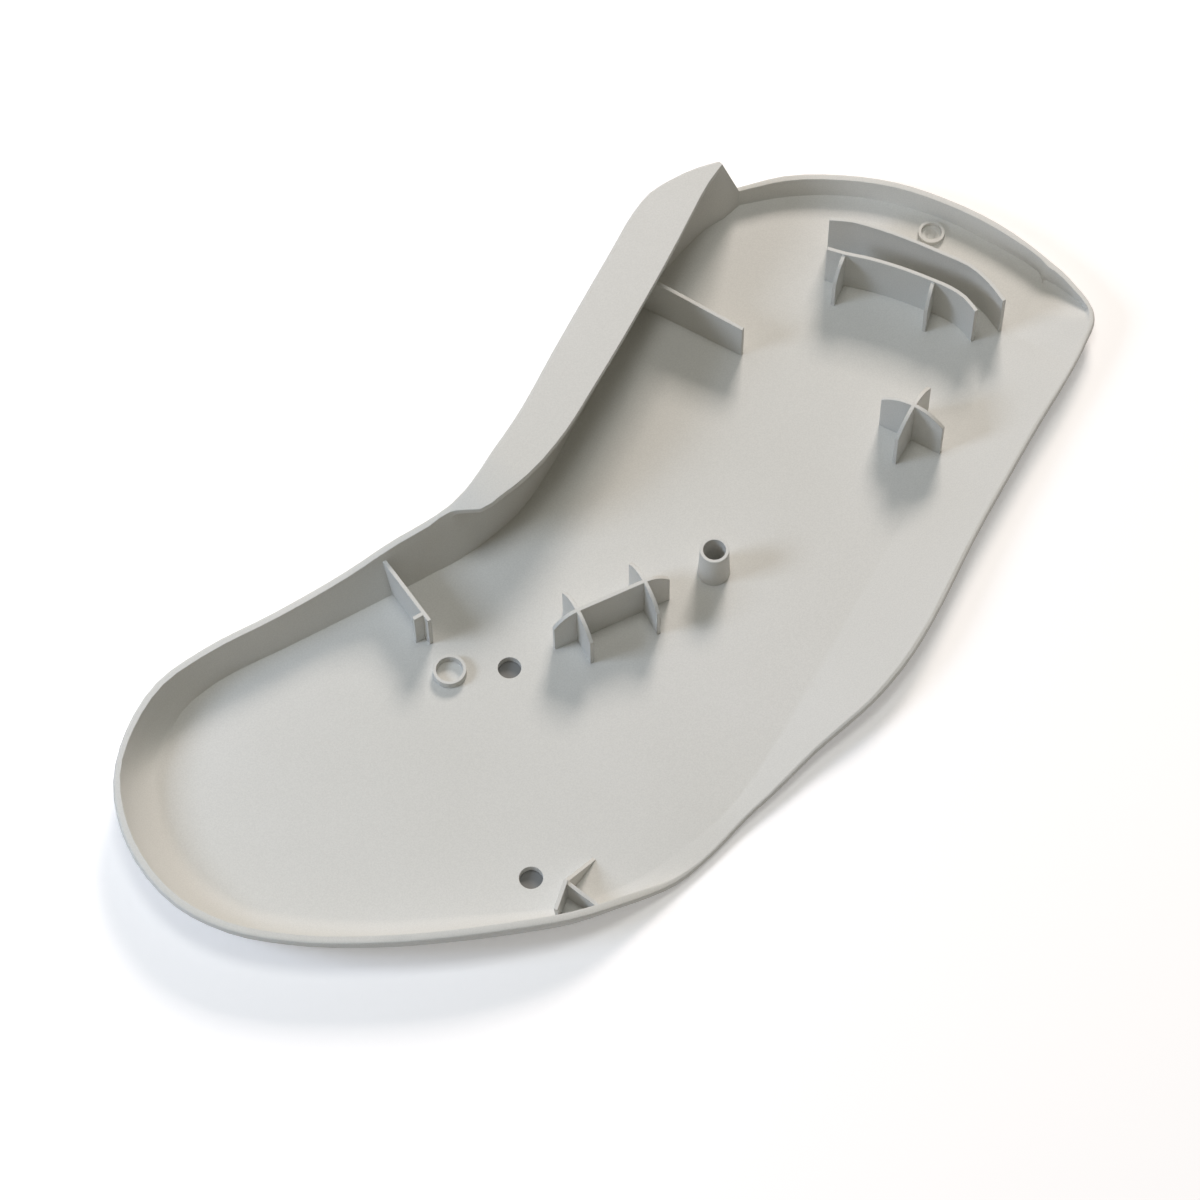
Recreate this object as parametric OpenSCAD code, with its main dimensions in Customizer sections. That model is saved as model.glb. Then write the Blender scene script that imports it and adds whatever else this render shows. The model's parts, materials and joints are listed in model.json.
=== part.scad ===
// Side trim panel of a seat, moulded in one piece.
// The panel lies on its smooth outer face, and the ribbed inner face looks up.
// Origin: the middle of its length and width, on the underside. Length runs along X.

/* [Panel] */
// Overall length along X, mm
panel_l = 342; // [300:0.5:380]
// Overall width along Y, mm
panel_w = 198; // [170:0.5:220]
// Thickness of the floor, the walls and the rim, mm
wall_t = 2.5; // [2:0.1:3]
// Height of the left, back and front rim above the underside, mm
rim_h = 16; // [13:0.5:20]
// Height of the right-hand rim above the underside, mm
end_h = 9; // [8:0.5:11]
// Height of the flanged side above the underside, mm
flange_h = 31; // [29:0.5:36]
// Thickness of the flange, mm
flange_t = 2; // [1.5:0.1:3]
// Height of the square edge below the rim, mm
edge_h = 1.8; // [1.3:0.1:2.4]
// Radius of the rounding on the outer edge of the rim, mm
rim_round = 1.2; // [0.4:0.1:1.2]

/* [Ribs] */
// Thickness of every rib, mm
rib_t = 1.2; // [1:0.1:2]
// Top of the double cross above the underside, mm
double_cross_h = 20; // [14:0.5:26]
// Top of the single cross above the underside, mm
cross_h = 22; // [14:0.5:26]
// Drop from the middle of a cross to the ends of its arms, mm
arm_drop = 5; // [1:0.5:8]
// Reach of the cross arms of the double cross, mm
double_cross_arm = 9.5; // [6:0.5:14]
// Reach of the double cross beyond its two middles, mm
double_cross_end = 8; // [6:0.5:14]
// Reach of the arms of the single cross, mm
cross_arm = 10.5; // [6:0.5:14]
// Distance between the two middles of the double cross, mm
cross_gap = 22; // [16:0.5:30]
// Top of the clip rails above the underside, mm
clip_h = 20; // [14:0.5:24]
// Top of the rib under the flange, mm
flange_rib_h = 20.5; // [12:0.5:24]
// Top of the locating rib on the ramp, mm
locating_rib_h = 17; // [12:0.5:20]
// Top of the corner gusset, mm
gusset_h = 12.5; // [8:0.5:14]

/* [Boss and holes] */
// Top of the boss above the underside, mm
boss_h = 16; // [10:0.5:24]
// Outside diameter of the boss at its top, mm
boss_d = 8.8; // [8.4:0.1:14]
// Extra diameter of the boss at its foot, mm
boss_taper = 1.1; // [0:0.1:2]
// Diameter of the blind bore in the boss, mm
boss_bore_d = 6.8; // [4:0.1:7.2]
// Diameter of the two fixing holes in the floor, mm
hole_d = 7; // [4:0.1:9]
// Outside diameter of the low ring, mm
ring_d = 10; // [8:0.1:14]
// Height of the low ring above the floor, mm
ring_h = 2.6; // [0.6:0.1:4]
// Wall of the low rings, mm
ring_t = 1; // [0.6:0.1:1.6]
// Outside diameter of the small ring by the clip rails, mm
small_ring_d = 8.4; // [6:0.1:10]
// Height of the small ring above the floor, mm
small_ring_h = 1.4; // [0.6:0.1:2.4]
// Depth of the dimple in the small ring, mm
dimple_depth = 1; // [0.4:0.1:1.4]

/* [Hidden] */
panel_colour = [0.82, 0.82, 0.79];
$fn = 64;

// The outline below is drawn for this length and width, and stretches with the two sizes.
drawn_l = 342.1;
drawn_w = 198.1;
stretch_x = panel_l / drawn_l;
stretch_y = panel_w / drawn_w;
// Middle of the drawing
drawn_middle = [2.04, 2.05];

// Longest step between two sections of the shell, and between two points of a rail
section_step = 6.5;
rail_step = 4;
// Largest turn of a line between two of its points, in degrees
turn_step = 10;
// Points along the inner curve of a section
curve_steps = 6;
// How far ribs and bosses are sunk into the floor
sink = wall_t / 2;
// Angle of the double cross and of the single cross
double_cross_turn = -3;
cross_turn = 31;
// Power of the curve by which the arms of a cross fall
arm_bow = 2.2;

// A section form holds two creases, each as its share of the way from rim to foot and of the
// height, and the roundness. Where only one crease is given, the second lies on the line below it.
// A share below nothing makes a wall that leans outwards.
function form(share, rise, round) = [share, rise, (share + 1) / 2, rise / 2, round];
cove = form(0.15, 0.1, 1);
soft_cove = form(0.35, 0.2, 0.6);
straight = form(0.5, 0.5, 0);
// Straight too, with its first crease close under the rim, or close above the foot
straight_high = form(0.1, 0.9, 0);
straight_low = form(0.8, 0.2, 0);

// Rows of the outline: rim point, foot of the wall on the floor, section form, lip width.
// The end arc, from the end of the flange to the right-hand corner
end_arc = [
    [[98.9, 100.9, end_h], [98.3, 98], straight, 2.1],
    [[114.1, 97.4, end_h], [112.5, 93.6], straight, wall_t],
    [[130.9, 88.3, end_h], [128.6, 85.2], straight, wall_t],
    [[143.8, 77.9, end_h], [140.8, 75.1], straight, wall_t],
    [[154.1, 65.3, end_h], [150.8, 63.2], straight, wall_t],
    [[163.9, 48.7, end_h], [160.4, 46.9], straight, wall_t],
    [[170.8, 28, end_h], [166.9, 27.2], straight_low, wall_t],
];
// The corner, where the end wall runs out against the strip that slopes up from the floor
corner = [
    [[171.8, 24.3, end_h], [164.9, 26.1], form(0.24, 0.12, 0), wall_t],
    [[172.4, 20.4, end_h], [163, 25.3], form(0.12, 0.23, 0), wall_t],
    [[173, 14, end_h], [160, 23.3], form(0.05, 0.49, 0), wall_t],
    [[172.7, 7.8, end_h], [157.2, 21.6], form(0.03, 0.74, 0), 2],
    [[170.2, 3.2, end_h], [154.6, 20], straight_high, 1.5],
    [[166, -0.2, end_h], [151.6, 18], straight_high, 1.2],
];
// The sloping strip, and the cut across it that runs down to the floor
sloping_side = [
    [[130.5, -22.9, end_h], [117.8, -3.4], straight, 1.4],
    [[105.6, -38.8, end_h], [92.4, -19.7], straight, 1.4],
    [[50.7, -73.2, end_h - 0.2], [39.4, -53.5], straight, 1.4],
    [[43.2, -75.8, end_h - 0.6], [32.4, -58], straight, 1.2],
    [[34.8, -77.8, end_h - 1.3], [25.4, -62.5], straight, 1.2],
    [[21, -80.7, end_h - 2.8], [14.2, -69.7], straight, 1],
    [[11.8, -83.5, end_h - 3.5], [6.3, -74.7], straight, 1],
    [[3.1, -85.9, wall_t + 2.1], [-1.2, -79], straight, 0.8],
    [[-6, -88.2, wall_t + 1.3], [-9.4, -82.6], straight, 0.8],
    [[-14.4, -91.1, wall_t + 0.7], [-16, -84.6], straight, 0.8],
    [[-24.8, -94.3, wall_t + 0.5], [-24, -86.4], straight, 0.8],
];
// The front side, where the rim rises again
front_side = [
    [[-34.3, -96.4, wall_t + 1.2], [-33.3, -88], form(0.3, 0.3, 0.5), 1.6],
    [[-43, -96.9, wall_t + 3.4], [-42, -89], form(0.2, 0.2, 0.8), 2.2],
    [[-51, -97, rim_h - 7.2], [-50, -88.8], cove, wall_t],
    [[-67.8, -95.6, rim_h - 3], [-66, -86.4], cove, wall_t],
    [[-83, -91.4, rim_h - 1], [-79.6, -80.6], cove, wall_t],
    [[-98, -86.2, rim_h], [-93, -74.2], cove, wall_t],
    [[-121, -75.9, rim_h], [-114.6, -64], cove, wall_t],
    [[-143, -62.8, rim_h], [-134.5, -51], cove, wall_t],
];
// The rounded end
round_end = [
    [[-156, -51.5, rim_h], [-145.2, -41.5], cove, wall_t],
    [[-165, -37.6, rim_h], [-151.2, -29.2], cove, wall_t],
    [[-169, -18.8, rim_h], [-153.8, -15], cove, wall_t],
    [[-167.4, -3.6, rim_h], [-152.4, -2], cove, wall_t],
    [[-163.6, 6.6, rim_h], [-149.8, 8], cove, wall_t],
    [[-153.2, 19.7, rim_h], [-143.6, 15.5], cove, wall_t],
    [[-138.6, 29.4, rim_h], [-134.5, 23.5], soft_cove, wall_t],
];
// The back side with its ramp, up to the start of the flange
back_side = [
    [[-122, 32.6, rim_h], [-121, 27.1], straight, wall_t],
    [[-97.6, 33.3, rim_h], [-97.2, 27.4], straight, wall_t],
    [[-73.7, 34.7, rim_h + 1], [-73.6, 27.6], straight, wall_t],
    [[-56, 35.1, flange_h - 9.5], [-56, 28], straight, wall_t],
    [[-46.2, 34.5, flange_h - 6.8], [-46.1, 28.3], straight, wall_t],
    [[-38.9, 34.5, flange_h - 4.4], [-38.7, 28.6], straight, wall_t],
];
// The flanged side up to its tip
flanged_side = [
    [[-37.4, 34.7, flange_h - 4], [-37.1, 28.9], straight, 3.4],
    [[-32.2, 35.8, flange_h - 2], [-31.6, 29.6], straight, 8.6],
    [[-26.2, 38.5, flange_h - 0.7], [-24.6, 31.2], straight, 11],
    [[-19.2, 42.6, flange_h], [-15.6, 34], straight, 13.8],
    [[-8.1, 49.1, flange_h], [-4.2, 40.2], straight, 15.5],
    [[14, 64.8, flange_h], [18, 55.6], straight, 17.3],
    [[46, 87.2, flange_h], [50, 78.2], straight, 17.7],
    [[59.7, 96.6, flange_h], [62.6, 86.8], straight, 17.9],
    [[66.4, 99.8, flange_h], [68, 89.2], straight, 17.4],
    [[73.9, 100.9, flange_h], [75, 92], straight, 13.5],
    [[84, 100.8, flange_h], [84.4, 95.4], straight, 6.9],
    [[90.9, 99.5, flange_h], [91.5, 96.1], straight, 2],
];
// Positions of the details on the floor
double_cross_at = [-9.3, -12.7];
cross_at = [101.5, -1.3];
boss_at = [26, -12.4];
hole_places = [[-43.1, -11.1], [-70, -74.1]];
ring_at = [-59.4, -4];
small_ring_at = [145.5, 59];
flange_rib_path = [[71.6, 49.8], [50.3, 85.7]];
locating_rib_path = [[-59.4, 7.5], [-61.9, 33.2]];
locating_stub_path = [[-59.6, 10.6], [-63.3, 10.4]];
// The arms of the gusset cross a little before the fin leaves them.
gusset_left_path = [[-63.3, -83.4], [-70.5, -90.2]];
gusset_right_path = [[-63.9, -83.2], [-58.3, -94.9]];
gusset_fin_path = [[-63.6, -83.7], [-50.6, -77.4]];
inner_rail = [
    [108, 61], [111.7, 56.8], [116.4, 52.4], [130.5, 35], [133.5, 30.4], [135.7, 25], [136.2, 19],
];
outer_rail = [
    [114, 70], [119.8, 65.9], [124, 61.4], [138.9, 40.9], [143, 34.4], [145.2, 26], [145.6, 18],
];
rail_brace_paths = [[[111.9, 57], [105.1, 51.5]], [[130.8, 35.3], [124.8, 29.4]]];

// A rib that runs into a wall ends inside its skin. Each end shape lists two of its corners,
// as a distance back from the end of the rib, and a height.
flange_rib_foot = [[5, sink]];
locating_rib_foot = [[4.2, sink]];
gusset_foot = [[4.5, sink], [1.4, wall_t + 2]];

// How far the tops of the ribs fall from one end to the other
flange_rib_fall = 3.5;
gusset_fall = 2.5;
// The low end of the gusset's fin lies this far under the face of the floor.
fin_sink = 0.4;
brace_fall = 5.5;
// Power of the curve by which the braces of the clip rails fall
brace_bow = 3;
// Step from the top of a rail down to its braces, and of the gusset down to its fin and right arm
top_step = 0.4;

function mix(a, b, t) = a + (b - a) * t;
function flat(p) = [p[0], p[1]];
function place(p) =
    [(p[0] - drawn_middle[0]) * stretch_x, (p[1] - drawn_middle[1]) * stretch_y];
function unit(v) = v / norm(v);

// Slope of the outline at a row, from the distances to its neighbours
function gap(rows, i) = norm(flat(rows[i + 1][0]) - flat(rows[i][0]));
function slope(rows, i) = (rows[i + 1] - rows[i]) / gap(rows, i);
function row_slope(rows, i, end) =
    i == 0 ? slope(rows, 0)
    : i == end ? slope(rows, end - 1)
    : (slope(rows, i - 1) * gap(rows, i) + slope(rows, i) * gap(rows, i - 1))
        / (gap(rows, i - 1) + gap(rows, i));

// A row between row i and the next, on a smooth cubic
function between(rows, i, t, end) =
    rows[i] * (1 + 2 * t) * pow(1 - t, 2) + rows[i + 1] * t * t * (3 - 2 * t)
    + row_slope(rows, i, end) * gap(rows, i) * t * pow(1 - t, 2)
    - row_slope(rows, i + 1, end) * gap(rows, i) * t * t * (1 - t);

function heading(rows, i) = unit(flat(row_slope(rows, i, len(rows) - 1)[0]));
function turn_at(rows, i) = acos(min(1, heading(rows, i) * heading(rows, i + 1)));
function step_count(rows, i, step) =
    max(1, ceil(gap(rows, i) / step), ceil(turn_at(rows, i) / turn_step));
function smooth(rows, step) = [
    for (i = [0 : len(rows) - 2])
        for (k = [0 : step_count(rows, i, step) - 1])
            between(rows, i, k / step_count(rows, i, step), len(rows) - 1),
    rows[len(rows) - 1],
];

// The whole outline is one smooth curve, closed by the straight drop at the end of the flange.
outline = concat(end_arc, corner, sloping_side, front_side, round_end, back_side, flanged_side);
sections = smooth(outline, section_step);
section_count = len(sections);

// Inner curve of a section in its own plane: distance from the rim line, and height.
// It mixes straight lines through both creases with a curve that the first one pulls.
function bent(a, c, d, b, t) =
    t < 1 / 3 ? mix(a, c, 3 * t) : t < 2 / 3 ? mix(c, d, 3 * t - 1) : mix(d, b, 3 * t - 2);
function curved(a, c, b, t) = a * pow(1 - t, 2) + c * 2 * t * (1 - t) + b * t * t;
function run(row) = norm(place(row[1]) - place(flat(row[0])));
// Lips a little wider than the wall are the overshoot of the cubic, and only wider ones are flange.
function lip_width(row) = row[3] < 1.2 * wall_t ? min(row[3], wall_t) : row[3];
function land(row) = min(row[3], wall_t);
function top(row) = min(row[0][2], flange_h);
function inner_curve(row) =
    let (
        a = [land(row), top(row)],
        b = [run(row), wall_t],
        c = [mix(a[0], b[0], row[2][0]), mix(b[1], a[1], row[2][1])],
        d = [mix(a[0], b[0], row[2][2]), mix(b[1], a[1], row[2][3])]
    )
    [
        for (k = [0 : curve_steps])
            let (t = k / curve_steps)
            mix(bent(a, c, d, b, t), curved(a, c, b, t), row[2][4])
    ];

// The outer skin keeps the wall thickness from the inner curve, and never stands out past the rim.
function face_normal(a, b) = let (d = unit(b - a)) [d[1], -d[0]];
function skin_point(curve, k) =
    let (
        before = face_normal(curve[k - 1], curve[k]),
        after = k == curve_steps ? [0, -1] : face_normal(curve[k], curve[k + 1])
    )
    inside(curve[k] + (before + after) * wall_t / (1 + before * after));
function inside(p) = [max(p[0], 0), p[1]];

// Closed section from the foot on the floor, over the rim and down to the underside
function section_path(row) =
    let (
        curve = inner_curve(row),
        top = top(row),
        lip = lip_width(row),
        has_flange = lip > wall_t,
        round = min(rim_round, 0.9 * lip),
        chamfer = 0.3 * round,
        skin = [for (k = [1 : curve_steps]) skin_point(curve, k)],
        edge = min(edge_h, (round + top - skin[0][1]) / 2, top - wall_t / 2)
    )
    concat(
        [for (k = [curve_steps : -1 : 1]) curve[k]],
        [has_flange ? [wall_t, top - flange_t] : mix(curve[0], curve[1], 0.5)],
        [has_flange ? [lip, top - flange_t] : mix(curve[0], curve[1], 0.25)],
        [[lip, top], [round, top], [chamfer, top - chamfer], [0, top - round]],
        [[0, top - edge]],
        skin,
        [[run(row), 0]]
    );

function section_points(row) =
    let (
        rim = place(flat(row[0])),
        inward = unit(place(row[1]) - rim)
    )
    [for (p = section_path(row)) [rim[0] + inward[0] * p[0], rim[1] + inward[1] * p[0], p[1]]];

// The rim, walls and slopes all round: one closed loop of sections
module walls() {
    loops = [for (row = sections) section_points(row)];
    ring = len(loops[0]);
    points = [for (loop = loops) for (p = loop) p];
    faces = [
        for (i = [0 : section_count - 1])
            for (k = [0 : ring - 1])
                let (
                    here = i * ring + k,
                    above = i * ring + (k + 1) % ring,
                    there = ((i + 1) % section_count) * ring + k,
                    across = ((i + 1) % section_count) * ring + (k + 1) % ring
                )
                each [[here, above, across], [here, across, there]],
    ];
    polyhedron(points = points, faces = faces, convexity = 8);
}

module floor_plate() {
    linear_extrude(wall_t) polygon([for (row = sections) place(row[1])]);
}

// A rib from one place to another. Its top falls by a round curve where bow is over 1.
module rib(from, to, top_from, top_to, bow = 1, foot = [[0, sink]]) {
    start = place(from);
    length = norm(place(to) - start);
    turn = atan2(place(to)[1] - start[1], place(to)[0] - start[0]);
    steps = bow > 1 ? 8 : 1;
    crest = [
        for (k = [steps : -1 : 0])
            [length * k / steps, mix(top_from, top_to, pow(k / steps, bow))]
    ];
    end = [for (p = foot) [length - p[0], p[1]]];
    translate([start[0], start[1], 0])
        rotate([90, 0, turn])
            translate([0, 0, -rib_t / 2])
                linear_extrude(rib_t)
                    polygon(concat([[0, sink]], end, crest));
}

// A straight upright blade. Its top is level in the middle and falls over an arm at each end.
module blade(middle, turn, level, arm, middle_h) {
    steps = 8;
    fall = [
        for (k = [0 : steps])
            [level / 2 + arm * k / steps, middle_h - arm_drop * pow(k / steps, arm_bow)]
    ];
    crest = concat(
        [for (k = [steps : -1 : 0]) fall[k]],
        [for (p = level > 0 ? fall : [for (k = [1 : steps]) fall[k]]) [-p[0], p[1]]]
    );
    reach = level / 2 + arm;
    translate([middle[0], middle[1], 0])
        rotate([90, 0, turn])
            translate([0, 0, -rib_t / 2])
                linear_extrude(rib_t)
                    polygon(concat([[-reach, sink], [reach, sink]], crest));
}

module cross() {
    for (turn = [cross_turn, cross_turn + 90])
        blade(place(cross_at), turn, 0, cross_arm, cross_h);
}

// One long blade with a short one across it at each middle
module double_cross() {
    along = [cos(double_cross_turn), sin(double_cross_turn)];
    middle = place(double_cross_at);
    blade(middle, double_cross_turn, cross_gap, double_cross_end, double_cross_h);
    for (side = [-1, 1])
        blade(
            middle + along * side * cross_gap / 2,
            double_cross_turn + 90, 0, double_cross_arm, double_cross_h
        );
}

// An upright strip that follows a smooth line
module rail(line) {
    rows = [for (p = line) [place(p)]];
    path = [for (row = smooth(rows, rail_step)) row[0]];
    last = len(path) - 1;
    side = [
        for (i = [0 : last])
            let (along = unit(path[min(i + 1, last)] - path[max(i - 1, 0)]))
            [-along[1], along[0]] * rib_t / 2
    ];
    left = [for (i = [0 : last]) path[i] + side[i]];
    right = [for (i = [last : -1 : 0]) path[i] - side[i]];
    translate([0, 0, sink])
        linear_extrude(clip_h - sink)
            polygon(concat(left, right));
}

module clip_rails() {
    rail(inner_rail);
    rail(outer_rail);
    brace_h = clip_h - top_step;
    for (path = rail_brace_paths)
        rib(path[0], path[1], brace_h, brace_h - brace_fall, bow = brace_bow);
}

module flange_rib() {
    rib(
        flange_rib_path[0], flange_rib_path[1],
        flange_rib_h - flange_rib_fall, flange_rib_h, foot = flange_rib_foot
    );
}

module locating_rib() {
    rib(
        locating_rib_path[0], locating_rib_path[1],
        locating_rib_h, locating_rib_h, foot = locating_rib_foot
    );
    rib(locating_stub_path[0], locating_stub_path[1], locating_rib_h, locating_rib_h);
}

// Two arms from the rim meet at an apex, and a fin falls from it to the floor.
module corner_gusset() {
    fin_h = gusset_h - top_step;
    rib(gusset_left_path[0], gusset_left_path[1], gusset_h, gusset_h, foot = gusset_foot);
    rib(gusset_right_path[0], gusset_right_path[1], fin_h, fin_h - gusset_fall, foot = gusset_foot);
    rib(gusset_fin_path[0], gusset_fin_path[1], fin_h, wall_t - fin_sink);
}

module boss() {
    at = place(boss_at);
    translate([at[0], at[1], sink])
        cylinder(d1 = boss_d + boss_taper, d2 = boss_d, h = boss_h - sink);
}

module low_ring(at, d, height) {
    translate([place(at)[0], place(at)[1], sink])
        difference() {
            cylinder(d = d, h = wall_t + height - sink);
            cylinder(d = d - 2 * ring_t, h = wall_t + height);
        }
}

// The bore stops at the floor, and the two holes go right through it.
module bores() {
    translate([place(boss_at)[0], place(boss_at)[1], wall_t])
        cylinder(d = boss_bore_d, h = boss_h);
    for (p = hole_places)
        translate([place(p)[0], place(p)[1], -1])
            cylinder(d = hole_d, h = wall_t + 2);
    translate([place(small_ring_at)[0], place(small_ring_at)[1], wall_t - dimple_depth])
        cylinder(d1 = small_ring_d / 4, d2 = small_ring_d / 2, h = dimple_depth);
}

module trim_panel() {
    color(panel_colour)
        difference() {
            union() {
                walls();
                floor_plate();
                double_cross();
                cross();
                clip_rails();
                flange_rib();
                locating_rib();
                corner_gusset();
                boss();
                low_ring(ring_at, ring_d, ring_h);
                low_ring(small_ring_at, small_ring_d, small_ring_h);
            }
            bores();
        }
}

trim_panel();
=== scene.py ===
import json
import math

import bpy
from mathutils import Matrix, Vector

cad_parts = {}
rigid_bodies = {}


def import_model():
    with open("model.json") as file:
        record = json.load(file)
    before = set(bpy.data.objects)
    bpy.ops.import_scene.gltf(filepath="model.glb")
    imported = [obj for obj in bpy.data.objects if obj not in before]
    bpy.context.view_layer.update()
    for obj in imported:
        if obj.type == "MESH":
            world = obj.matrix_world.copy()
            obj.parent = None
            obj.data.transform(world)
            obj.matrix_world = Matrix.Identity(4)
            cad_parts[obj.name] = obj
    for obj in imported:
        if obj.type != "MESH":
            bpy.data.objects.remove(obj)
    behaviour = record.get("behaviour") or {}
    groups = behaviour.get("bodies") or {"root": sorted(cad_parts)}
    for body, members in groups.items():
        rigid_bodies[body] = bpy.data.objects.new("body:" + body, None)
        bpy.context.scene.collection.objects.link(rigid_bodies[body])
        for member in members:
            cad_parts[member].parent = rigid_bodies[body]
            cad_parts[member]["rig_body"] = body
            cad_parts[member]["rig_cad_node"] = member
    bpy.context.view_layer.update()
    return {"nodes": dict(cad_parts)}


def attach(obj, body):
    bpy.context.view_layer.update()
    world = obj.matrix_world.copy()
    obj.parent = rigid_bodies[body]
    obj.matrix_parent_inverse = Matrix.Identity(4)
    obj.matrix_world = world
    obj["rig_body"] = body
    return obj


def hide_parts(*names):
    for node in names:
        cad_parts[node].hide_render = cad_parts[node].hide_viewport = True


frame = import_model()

# Merge distance of the moulding's corners, in metres
WELD = 2e-6
# Flat faces that meet under this angle become one face, in degrees
FLAT_ANGLE = 0.3
# Faces that meet under this angle are shaded as one smooth surface, in degrees
SMOOTH_ANGLE = 32
# Radius of the small rounding that the mould leaves on every edge, in metres
EDGE_ROUNDING = 0.00035

# Where the camera stands and looks, in metres, its roll in degrees, and its lens in millimetres
CAMERA_AT = (-0.2747, -0.5030, 1.0606)
CAMERA_LOOKS_AT = (-0.0100, -0.0051, 0.0)
CAMERA_ROLL = -1.08
CAMERA_LENS = 120
SENSOR_WIDTH = 36
# Farthest distance that the camera sees, in metres
CAMERA_REACH = 20

# Broad clouds of colour in the plastic, and the two colours between which they run
CLOUD_SCALE = 9
CLOUD_DARK = (0.655, 0.648, 0.612)
CLOUD_LIGHT = (0.700, 0.694, 0.668)
# Fine speckle over the clouds
SPECKLE_SCALE = 2600
SPECKLE_DARK = (0.93, 0.93, 0.93)
SPECKLE_LIGHT = (1.0, 1.0, 1.0)
# Roughness of the plastic, which varies a little over its face
ROUGHNESS_SCALE = 700
ROUGHNESS_LOW = 0.46
ROUGHNESS_HIGH = 0.62
SHEEN_LEVEL = 0.35
# Fine grain of the mould: scale, roughness of the pattern, strength, and depth in metres
GRAIN_SCALE = 1900
GRAIN_PATTERN = 0.6
GRAIN_STRENGTH = 0.25
GRAIN_DEPTH = 0.00006
# Samples of the edge rounding
ROUNDING_SAMPLES = 6

# The studio floor lies just under the panel. It is a wide plain sheet of pale paper.
FLOOR_SIZE = 12
FLOOR_HEIGHT = -0.0002
FLOOR_COLOUR = (0.92, 0.90, 0.90, 1)
# How much brighter the camera sees the floor than light alone would make it
FLOOR_LIFT = 0.26

# Painted shade under the two fixing holes: a dark sheet that stands in for the shade beneath
# the panel
PAINTED_HOLE_SHADE_AT = (-0.0594, -0.0446, -0.0001)
PAINTED_HOLE_SHADE_SIZE = (0.04, 0.078, 1)
PAINTED_HOLE_SHADE_COLOUR = (0.22, 0.22, 0.215, 1)
PAINTED_HOLE_SHADE_ROUGHNESS = 0.9

# Lamps: place and size in metres, strength in watts, and colour
BACK_LAMP = ((1.41, 1.56, 1.53), 0.70, 43.0, (1.0, 0.914, 0.855))
LEFT_LAMP = ((-0.71, 0.18, 0.53), 0.28, 3.3, (0.68, 0.807, 1.0))
TOP_LAMP = ((0.02, 0.05, 1.45), 0.40, 4.4, (0.98, 1.0, 0.98))
WORLD_COLOUR = (0.168, 0.160, 0.135)


def deselect_all():
    """Nothing is selected."""
    bpy.ops.object.select_all(action="DESELECT")


def pick(piece):
    """Only this piece is selected and active."""
    deselect_all()
    piece.select_set(True)
    bpy.context.view_layer.objects.active = piece


# The moulding


def model_moulding():
    """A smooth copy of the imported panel, with merged corners and smoothly shaded curves."""
    pick(frame["nodes"]["trim_panel"])
    bpy.ops.object.duplicate()
    moulding = bpy.context.view_layer.objects.active
    moulding.name = "panel_moulding"
    moulding.data.name = "panel_moulding"
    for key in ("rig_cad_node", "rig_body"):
        if key in moulding:
            del moulding[key]
    moulding.parent = None
    pick(moulding)
    bpy.ops.object.mode_set(mode="EDIT")
    bpy.ops.mesh.customdata_custom_splitnormals_clear()
    bpy.ops.mesh.select_all(action="SELECT")
    bpy.ops.mesh.remove_doubles(threshold=WELD)
    bpy.ops.mesh.dissolve_limited(angle_limit=math.radians(FLAT_ANGLE))
    bpy.ops.object.mode_set(mode="OBJECT")
    bpy.ops.object.shade_smooth_by_angle(angle=math.radians(SMOOTH_ANGLE))
    # The shading leans to the larger faces, so that the flat floor looks flat to its very edge.
    leaning = moulding.modifiers.new("level_floor", "WEIGHTED_NORMAL")
    leaning.keep_sharp = True
    bpy.ops.object.modifier_apply(modifier=leaning.name)
    return moulding


# The finish


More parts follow.
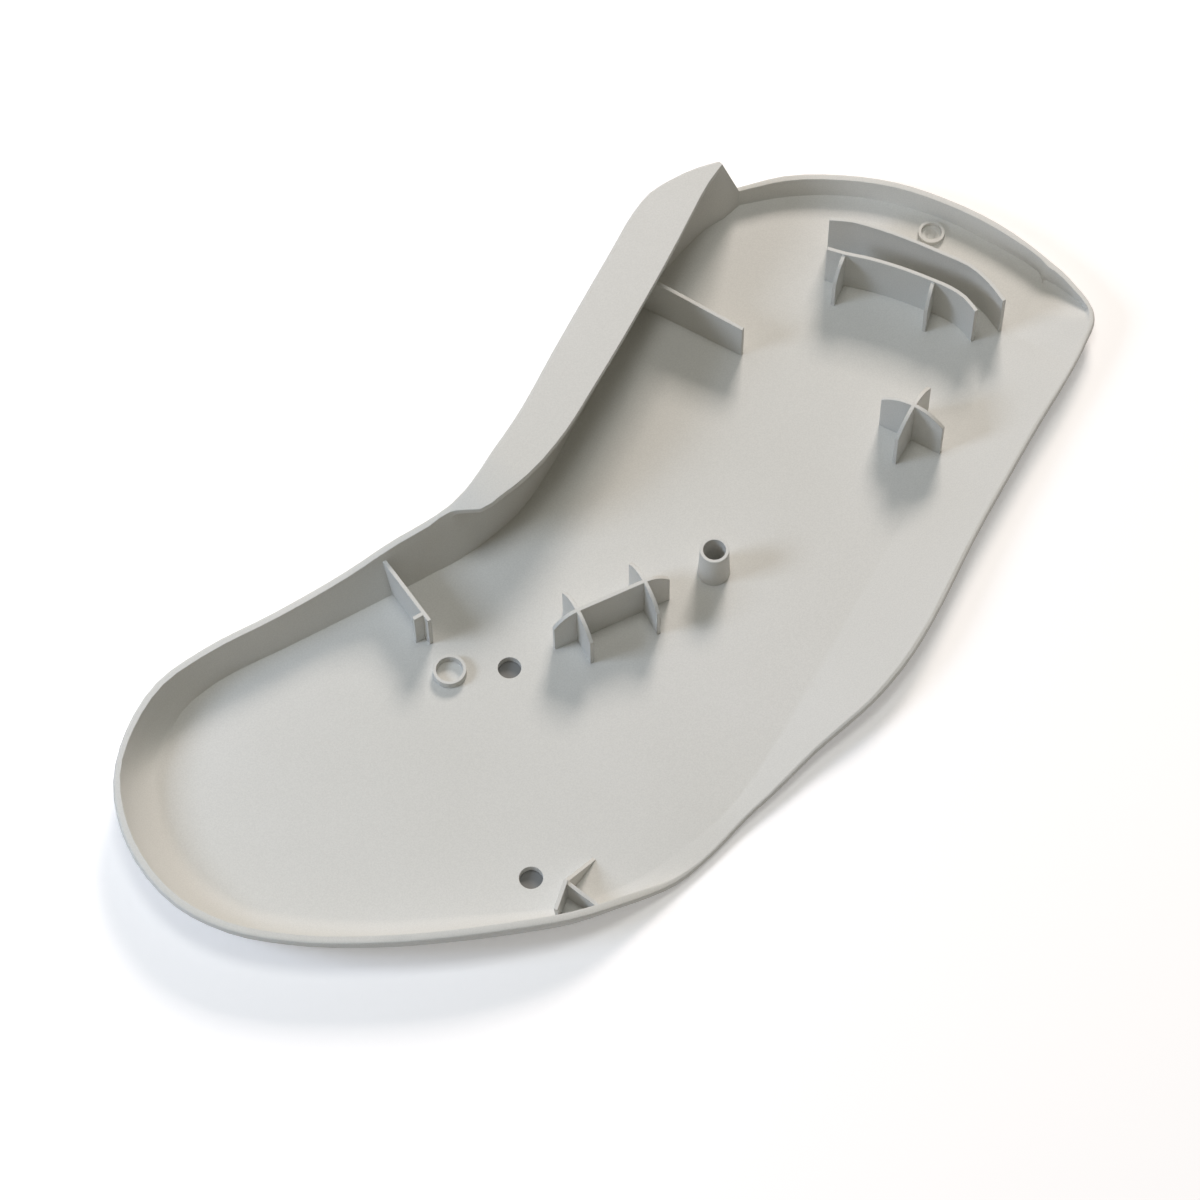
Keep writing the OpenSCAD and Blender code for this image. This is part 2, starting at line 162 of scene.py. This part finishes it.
def panel_plastic():
    """Matte off-white plastic with faint clouds, a fine grain and rounded edges."""
    material = bpy.data.materials.new("panel_plastic")
    material.use_nodes = True
    nodes = material.node_tree.nodes
    links = material.node_tree.links
    shader = nodes["Principled BSDF"]
    coordinates = nodes.new("ShaderNodeTexCoord")

    def noise(scale, detail, roughness=0.5):
        node = nodes.new("ShaderNodeTexNoise")
        node.inputs["Scale"].default_value = scale
        node.inputs["Detail"].default_value = detail
        node.inputs["Roughness"].default_value = roughness
        links.new(coordinates.outputs["Object"], node.inputs["Vector"])
        return node.outputs["Fac"]

    def ramp(factor, low, high, first, last):
        node = nodes.new("ShaderNodeValToRGB")
        node.color_ramp.elements[0].position = low
        node.color_ramp.elements[0].color = (*first, 1)
        node.color_ramp.elements[1].position = high
        node.color_ramp.elements[1].color = (*last, 1)
        links.new(factor, node.inputs["Fac"])
        return node.outputs["Color"]

    def span(factor, low, high):
        node = nodes.new("ShaderNodeMapRange")
        node.inputs["To Min"].default_value = low
        node.inputs["To Max"].default_value = high
        links.new(factor, node.inputs["Value"])
        return node.outputs["Result"]

    clouds = ramp(noise(CLOUD_SCALE, 3), 0.3, 0.7, CLOUD_DARK, CLOUD_LIGHT)
    speckle = ramp(noise(SPECKLE_SCALE, 2), 0.35, 0.65, SPECKLE_DARK, SPECKLE_LIGHT)
    blend = nodes.new("ShaderNodeMix")
    blend.data_type = "RGBA"
    blend.blend_type = "MULTIPLY"
    blend.inputs["Factor"].default_value = 1.0
    links.new(clouds, blend.inputs["A"])
    links.new(speckle, blend.inputs["B"])
    links.new(blend.outputs["Result"], shader.inputs["Base Color"])

    roughness = span(noise(ROUGHNESS_SCALE, 3), ROUGHNESS_LOW, ROUGHNESS_HIGH)
    links.new(roughness, shader.inputs["Roughness"])
    shader.inputs["Specular IOR Level"].default_value = SHEEN_LEVEL

    # The edges are rounded first, and the grain then lies over them.
    rounding = nodes.new("ShaderNodeBevel")
    rounding.samples = ROUNDING_SAMPLES
    rounding.inputs["Radius"].default_value = EDGE_ROUNDING
    grain = nodes.new("ShaderNodeBump")
    grain.inputs["Strength"].default_value = GRAIN_STRENGTH
    grain.inputs["Distance"].default_value = GRAIN_DEPTH
    links.new(noise(GRAIN_SCALE, 3, GRAIN_PATTERN), grain.inputs["Height"])
    links.new(rounding.outputs["Normal"], grain.inputs["Normal"])
    links.new(grain.outputs["Normal"], shader.inputs["Normal"])
    return material


def dress(piece, material):
    """The piece has this one material on every face."""
    piece.data.materials.clear()
    piece.data.materials.append(material)


# The studio


def lay_floor():
    """A wide pale floor under the panel. To the camera it looks white where no shadow lies."""
    deselect_all()
    bpy.ops.mesh.primitive_plane_add(size=FLOOR_SIZE, location=(0, 0, FLOOR_HEIGHT))
    floor = bpy.context.view_layer.objects.active
    floor.name = "studio_floor"
    material = bpy.data.materials.new("studio_floor")
    material.use_nodes = True
    nodes = material.node_tree.nodes
    links = material.node_tree.links
    nodes.remove(nodes["Principled BSDF"])
    paper = nodes.new("ShaderNodeBsdfDiffuse")
    paper.inputs["Color"].default_value = FLOOR_COLOUR
    lift = nodes.new("ShaderNodeEmission")
    light_path = nodes.new("ShaderNodeLightPath")
    seen = nodes.new("ShaderNodeMath")
    seen.operation = "MULTIPLY"
    seen.inputs[1].default_value = FLOOR_LIFT
    links.new(light_path.outputs["Is Camera Ray"], seen.inputs[0])
    links.new(seen.outputs["Value"], lift.inputs["Strength"])
    both = nodes.new("ShaderNodeAddShader")
    links.new(paper.outputs["BSDF"], both.inputs[0])
    links.new(lift.outputs["Emission"], both.inputs[1])
    links.new(both.outputs["Shader"], nodes["Material Output"].inputs["Surface"])
    dress(floor, material)


def lay_painted_hole_shade():
    """A dark sheet of painted shade just under the panel. It stands in for the shade that its
    two holes look down on.
    """
    deselect_all()
    bpy.ops.mesh.primitive_plane_add(size=1, location=PAINTED_HOLE_SHADE_AT)
    shade_sheet = bpy.context.view_layer.objects.active
    shade_sheet.name = "studio_painted_hole_shade"
    shade_sheet.scale = PAINTED_HOLE_SHADE_SIZE
    material = bpy.data.materials.new("studio_painted_hole_shade")
    material.use_nodes = True
    shader = material.node_tree.nodes["Principled BSDF"]
    # This dark colour is painted shade that the two holes look down on.
    shader.inputs["Base Color"].default_value = PAINTED_HOLE_SHADE_COLOUR
    shader.inputs["Roughness"].default_value = PAINTED_HOLE_SHADE_ROUGHNESS
    dress(shade_sheet, material)


def light_world():
    """An even, faint and slightly warm surround. The camera sees it as plain white."""
    world = bpy.data.worlds.new("studio_surround")
    bpy.context.scene.world = world
    world.use_nodes = True
    nodes = world.node_tree.nodes
    links = world.node_tree.links
    surround = nodes["Background"]
    light_path = nodes.new("ShaderNodeLightPath")
    seen = nodes.new("ShaderNodeMix")
    seen.data_type = "RGBA"
    seen.inputs["A"].default_value = (*WORLD_COLOUR, 1)
    seen.inputs["B"].default_value = (1, 1, 1, 1)
    links.new(light_path.outputs["Is Camera Ray"], seen.inputs["Factor"])
    links.new(seen.outputs["Result"], surround.inputs["Color"])
    surround.inputs["Strength"].default_value = 1.0


def hang_lamp(name, place, size, strength, colour):
    """A square soft lamp that faces the middle of the panel."""
    lamp = bpy.data.lights.new(name, "AREA")
    lamp.size = size
    lamp.energy = strength
    lamp.color = colour
    holder = bpy.data.objects.new(name, lamp)
    bpy.context.scene.collection.objects.link(holder)
    holder.location = place
    holder.rotation_euler = (-Vector(place)).to_track_quat("-Z", "Y").to_euler()


def set_camera():
    """The camera stands at the photo's viewing angle, with the photo's slight roll."""
    camera_data = bpy.data.cameras.new("camera")
    camera_data.lens = CAMERA_LENS
    camera_data.sensor_width = SENSOR_WIDTH
    camera_data.clip_end = CAMERA_REACH
    camera = bpy.data.objects.new("camera", camera_data)
    bpy.context.scene.collection.objects.link(camera)
    look = (Vector(CAMERA_LOOKS_AT) - Vector(CAMERA_AT)).normalized()
    level_right = look.cross(Vector((0, 0, 1))).normalized()
    level_up = level_right.cross(look)
    roll = math.radians(CAMERA_ROLL)
    right = math.cos(roll) * level_right + math.sin(roll) * level_up
    up = -math.sin(roll) * level_right + math.cos(roll) * level_up
    camera.matrix_world = Matrix((
        (right.x, up.x, -look.x, CAMERA_AT[0]),
        (right.y, up.y, -look.y, CAMERA_AT[1]),
        (right.z, up.z, -look.z, CAMERA_AT[2]),
        (0, 0, 0, 1),
    ))
    bpy.context.scene.camera = camera


panel = model_moulding()
dress(panel, panel_plastic())
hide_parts("trim_panel")
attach(panel, "root")

lay_floor()
lay_painted_hole_shade()
light_world()
hang_lamp("back_lamp", *BACK_LAMP)
hang_lamp("left_lamp", *LEFT_LAMP)
hang_lamp("top_lamp", *TOP_LAMP)
set_camera()
bpy.context.scene.view_settings.view_transform = "Standard"
